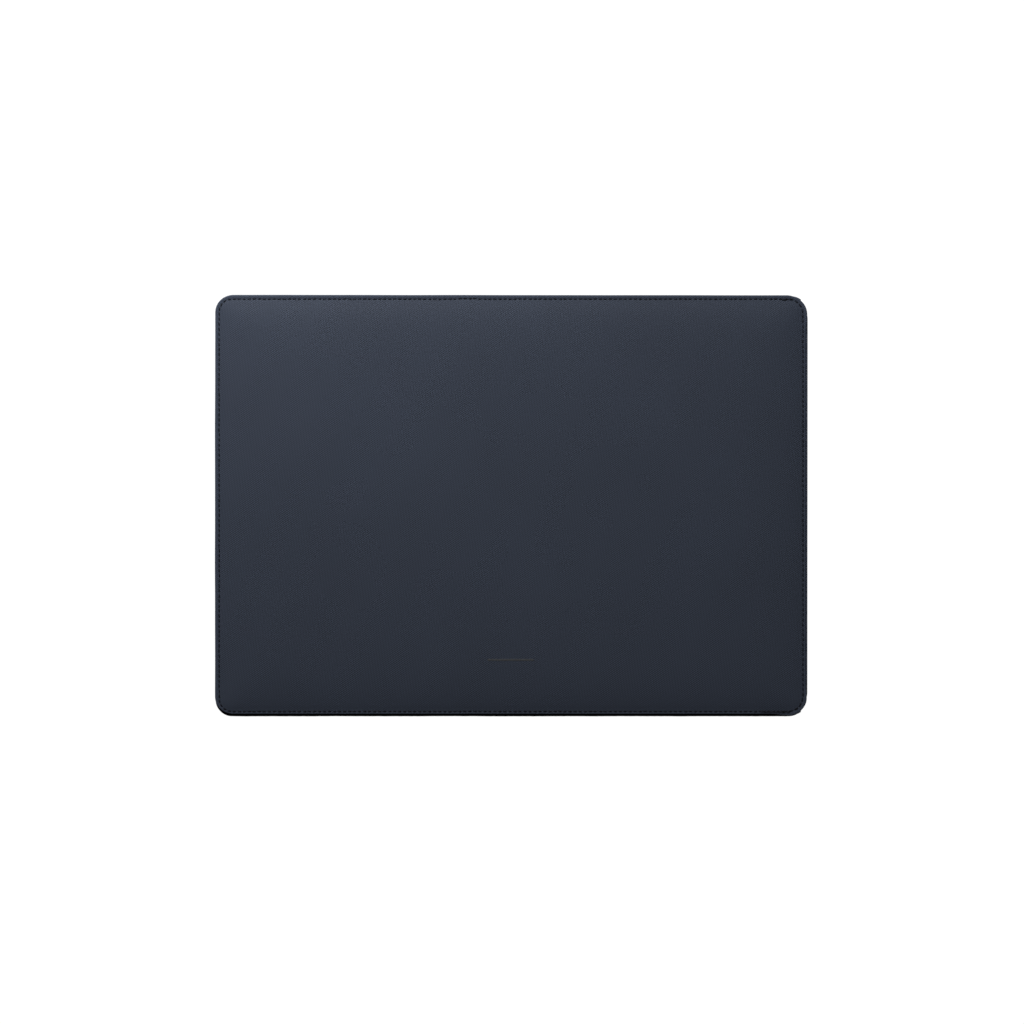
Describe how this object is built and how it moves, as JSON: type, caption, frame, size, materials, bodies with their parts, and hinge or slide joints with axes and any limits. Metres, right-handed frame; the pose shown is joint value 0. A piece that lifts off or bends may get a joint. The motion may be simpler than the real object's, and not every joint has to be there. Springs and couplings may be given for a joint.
{
  "type": "laptop sleeve",
  "caption": "Slim padded laptop sleeve in textured leatherette, stitched round the rim, with a mouth on one short side and a magnetic wrap-round flap.",
  "frame": {"origin": "centre of the sleeve's outline on the plane that it rests on, lying on its back", "axes": "+X along the long side towards the mouth, +Y along the short side, +Z out of the front panel"},
  "size_m": [0.3756, 0.267, 0.0268],
  "materials": {
    "leatherette": "matt polyurethane leatherette with a fine woven emboss",
    "microfibre": "short-nap microfibre lining",
    "edge_felt": "black felted edge band",
    "foam": "closed-cell padding foam, hidden",
    "thread": "bonded polyester thread",
    "board": "pressed fibre board, hidden",
    "magnet": "nickel-plated, hidden",
    "steel": "plain rolled strip, hidden"
  },
  "bodies": {
    "pouch": {"front_skin": "leatherette", "front_foam": "foam", "front_lining": "microfibre", "edge_band": "edge_felt", "seam_thread_front": "thread", "seam_thread_back": "thread", "bar_tack_upper": "thread", "bar_tack_lower": "thread", "back_skin": "leatherette", "back_foam": "foam", "back_lining": "microfibre", "mouth_binding": "leatherette", "flap_anchor": "leatherette", "catch_plate_1": "steel", "catch_plate_2": "steel", "catch_plate_3": "steel", "catch_plate_4": "steel"},
    "spine": {"spine_skin": "leatherette", "spine_stiffener": "board", "spine_lining": "microfibre"},
    "tongue": {"tongue_skin": "leatherette", "tongue_stiffener": "board", "tongue_lining": "microfibre", "tongue_thread": "thread", "magnet_1": "magnet", "magnet_2": "magnet", "magnet_3": "magnet", "magnet_4": "magnet"}
  },
  "joints": [
    {"name": "flap_spine_hinge", "type": "hinge", "parent": "pouch", "child": "spine", "pos_m": [0.1874, 0, 0.0225], "axis": [0, -1, 0], "range_deg": [0, 180]},
    {"name": "flap_tongue_hinge", "type": "hinge", "parent": "spine", "child": "tongue", "pos_m": [0.1869, 0, 0.00115], "axis": [0, -1, 0], "range_deg": [0, 90]}
  ]
}
